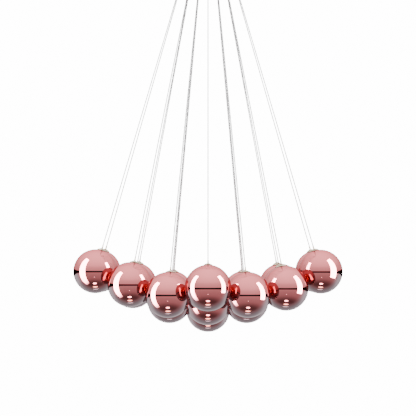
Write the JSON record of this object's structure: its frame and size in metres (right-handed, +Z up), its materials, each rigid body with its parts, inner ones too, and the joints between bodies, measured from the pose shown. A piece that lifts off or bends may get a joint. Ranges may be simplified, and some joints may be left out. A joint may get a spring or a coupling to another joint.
{
  "type": "cluster pendant light",
  "caption": "Ceiling light: a close cluster of mirrored rose-copper glass globes in a shallow bowl, each on a straight cord from one round canopy.",
  "frame": {"origin": "on the ceiling plane, midway between the two ceiling screw holes of the bracket", "axes": "+Z up into the ceiling; -Y towards the front, the side the light is seen from; +X to the right"},
  "size_m": [0.733, 0.604, 1.01],
  "materials": {
    "mirrored_glass": "rose-copper metallised glass, high gloss",
    "cap_metal": "satin champagne",
    "cord": "pale grey translucent sheath",
    "ceramic": "glazed white",
    "lamp_glass": "frosted white",
    "canopy_metal": "satin off-white",
    "gland_metal": "satin nickel plate",
    "terminal_plastic": "matte moulded",
    "board": "smooth laminate",
    "screw_steel": "zinc plated",
    "driver_case": "matte moulded",
    "bracket_steel": "zinc plated sheet",
    "rubber": "matte",
    "brass": "plain machined"
  },
  "bodies": {
    "light_frame": {"inner_globes": "mirrored_glass", "inner_caps": "cap_metal", "inner_lampholders": "ceramic", "inner_lamps": "lamp_glass", "inner_cables": "cord", "canopy_cover": "canopy_metal", "cable_glands": "gland_metal", "cable_tails": "cord", "cord_terminals": "terminal_plastic", "wiring_board": "board", "board_standoffs": "gland_metal", "board_screws": "screw_steel", "led_driver": "driver_case", "mains_terminal_block": "terminal_plastic", "ceiling_bracket": "bracket_steel", "cover_screws": "screw_steel", "mains_grommet": "rubber", "earth_terminal": "brass"},
    "pendant_a1": {"globe_a1": "mirrored_glass", "cap_a1": "cap_metal", "cable_a1": "cord"},
    "pendant_a2": {"globe_a2": "mirrored_glass", "cap_a2": "cap_metal", "cable_a2": "cord"},
    "pendant_b1": {"globe_b1": "mirrored_glass", "cap_b1": "cap_metal", "cable_b1": "cord"},
    "pendant_b3": {"globe_b3": "mirrored_glass", "cap_b3": "cap_metal", "cable_b3": "cord"},
    "pendant_c1": {"globe_c1": "mirrored_glass", "cap_c1": "cap_metal", "cable_c1": "cord"},
    "pendant_c4": {"globe_c4": "mirrored_glass", "cap_c4": "cap_metal", "cable_c4": "cord"},
    "pendant_d1": {"globe_d1": "mirrored_glass", "cap_d1": "cap_metal", "cable_d1": "cord"},
    "pendant_d5": {"globe_d5": "mirrored_glass", "cap_d5": "cap_metal", "cable_d5": "cord"},
    "pendant_e1": {"globe_e1": "mirrored_glass", "cap_e1": "cap_metal", "cable_e1": "cord"},
    "pendant_e4": {"globe_e4": "mirrored_glass", "cap_e4": "cap_metal", "cable_e4": "cord"},
    "pendant_f1": {"globe_f1": "mirrored_glass", "cap_f1": "cap_metal", "cable_f1": "cord"},
    "pendant_f3": {"globe_f3": "mirrored_glass", "cap_f3": "cap_metal", "cable_f3": "cord"},
    "pendant_g1": {"globe_g1": "mirrored_glass", "cap_g1": "cap_metal", "cable_g1": "cord"},
    "pendant_g2": {"globe_g2": "mirrored_glass", "cap_g2": "cap_metal", "cable_g2": "cord"}
  },
  "joints": [
    {"name": "swing_a1", "type": "hinge", "parent": "light_frame", "child": "pendant_a1", "pos_m": [-0.08221, -0.01623, -0.059], "axis": [-0.1937, 0.9811, 0], "range_deg": [0, 30]},
    {"name": "swing_a2", "type": "hinge", "parent": "light_frame", "child": "pendant_a2", "pos_m": [-0.08221, 0.01623, -0.059], "axis": [0.1937, 0.9811, 0], "range_deg": [0, 30]},
    {"name": "swing_b1", "type": "hinge", "parent": "light_frame", "child": "pendant_b1", "pos_m": [-0.05402, -0.03143, -0.059], "axis": [-0.8605, 0.5095, 0], "range_deg": [0, 30]},
    {"name": "swing_b3", "type": "hinge", "parent": "light_frame", "child": "pendant_b3", "pos_m": [-0.05398, 0.0314, -0.059], "axis": [0.8605, 0.5095, 0], "range_deg": [0, 30]},
    {"name": "swing_c1", "type": "hinge", "parent": "light_frame", "child": "pendant_c1", "pos_m": [-0.02652, -0.04606, -0.059], "axis": [-0.8605, 0.5095, 0], "range_deg": [0, 30]},
    {"name": "swing_c4", "type": "hinge", "parent": "light_frame", "child": "pendant_c4", "pos_m": [-0.02654, 0.0461, -0.059], "axis": [0.8605, 0.5095, 0], "range_deg": [0, 30]},
    {"name": "swing_d1", "type": "hinge", "parent": "light_frame", "child": "pendant_d1", "pos_m": [0, -0.06246, -0.059], "axis": [-1, 0, 0], "range_deg": [0, 30]},
    {"name": "swing_d5", "type": "hinge", "parent": "light_frame", "child": "pendant_d5", "pos_m": [0, 0.06246, -0.059], "axis": [1, 0, 0], "range_deg": [0, 30]},
    {"name": "swing_e1", "type": "hinge", "parent": "light_frame", "child": "pendant_e1", "pos_m": [0.02652, -0.04606, -0.059], "axis": [-0.8605, -0.5095, 0], "range_deg": [0, 30]},
    {"name": "swing_e4", "type": "hinge", "parent": "light_frame", "child": "pendant_e4", "pos_m": [0.02654, 0.0461, -0.059], "axis": [0.8605, -0.5095, 0], "range_deg": [0, 30]},
    {"name": "swing_f1", "type": "hinge", "parent": "light_frame", "child": "pendant_f1", "pos_m": [0.05354, -0.03114, -0.059], "axis": [-0.8605, -0.5095, 0], "range_deg": [0, 30]},
    {"name": "swing_f3", "type": "hinge", "parent": "light_frame", "child": "pendant_f3", "pos_m": [0.05383, 0.03131, -0.059], "axis": [0.8605, -0.5095, 0], "range_deg": [0, 30]},
    {"name": "swing_g1", "type": "hinge", "parent": "light_frame", "child": "pendant_g1", "pos_m": [0.08213, -0.01621, -0.059], "axis": [-0.1937, -0.9811, 0], "range_deg": [0, 30]},
    {"name": "swing_g2", "type": "hinge", "parent": "light_frame", "child": "pendant_g2", "pos_m": [0.08213, 0.01621, -0.059], "axis": [0.1937, -0.9811, 0], "range_deg": [0, 30]}
  ]
}
